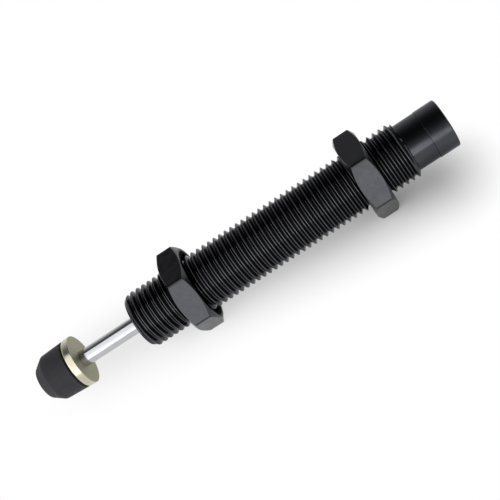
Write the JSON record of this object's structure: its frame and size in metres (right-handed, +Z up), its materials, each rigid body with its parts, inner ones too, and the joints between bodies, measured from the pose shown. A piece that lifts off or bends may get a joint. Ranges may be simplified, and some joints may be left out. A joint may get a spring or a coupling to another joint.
{
  "type": "hydraulic shock absorber",
  "caption": "Slim threaded hydraulic shock absorber: a sprung chrome rod with a conical bumper cap on a disc, hexagonal lock nuts on the black body and a smooth rear cap.",
  "frame": {"origin": "on the rod's axis in the plane of the threaded body's front face, from which the rod comes out", "axes": "+X along the axis from the rod end towards the rear cap, +Z up, square to a flat of each lock nut"},
  "size_m": [0.108, 0.0214, 0.0186],
  "materials": {
    "black_steel": "oiled black oxide, satin",
    "nut_steel": "black oxide, satin",
    "rear_cap_black": "black, semi-gloss",
    "fill_plug_steel": "black oxide",
    "bearing_steel": "polished",
    "inner_steel": "turned",
    "ring_steel": "phosphated",
    "gland_steel": "turned",
    "seal_rubber": "matt",
    "bronze": "turned",
    "foam": "closed-cell foam",
    "rod_chrome": "hard chrome, ground",
    "spring_steel": "spring steel",
    "disc_nickel": "warm satin nickel plate",
    "bumper_urethane": "matt urethane"
  },
  "bodies": {
    "body": {"outer_body": "black_steel", "rear_cap": "rear_cap_black", "rear_cap_seal": "seal_rubber", "fill_plug": "fill_plug_steel", "fill_ball": "bearing_steel", "pressure_tube": "inner_steel", "retaining_ring": "ring_steel", "gland": "gland_steel", "rod_wiper": "seal_rubber", "rod_seal": "seal_rubber", "rod_bearing": "bronze", "bearing_seal": "seal_rubber", "foam_accumulator": "foam", "return_spring": "spring_steel"},
    "spring_seat": {"spring_seat": "inner_steel"},
    "rod": {"piston_rod": "rod_chrome", "piston": "inner_steel", "piston_nut": "inner_steel", "striker_disc": "disc_nickel", "disc_nut": "inner_steel", "bumper_cap": "bumper_urethane"},
    "check_ring": {"check_ring": "bronze"},
    "front_nut": {"front_nut": "nut_steel"},
    "rear_nut": {"rear_nut": "nut_steel"}
  },
  "joints": [
    {"name": "rod_stroke", "type": "slide", "parent": "body", "child": "spring_seat", "axis": [1, 0, 0], "range_m": [0, 0.016], "stiffness_N_per_m": 300, "springref_m": -0.016, "deforming": ["return_spring"]},
    {"name": "rod_spin", "type": "hinge", "parent": "spring_seat", "child": "rod", "pos_m": [0, 0, 0], "axis": [1, 0, 0], "continuous": true},
    {"name": "check_ring_float", "type": "slide", "parent": "rod", "child": "check_ring", "axis": [1, 0, 0], "range_m": [-0.00026, 0]},
    {"name": "front_nut_travel", "type": "slide", "parent": "body", "child": "front_nut", "axis": [1, 0, 0], "range_m": [-0.009, 0.018]},
    {"name": "rear_nut_travel", "type": "slide", "parent": "body", "child": "rear_nut", "axis": [1, 0, 0], "range_m": [-0.018, 0.006]}
  ]
}
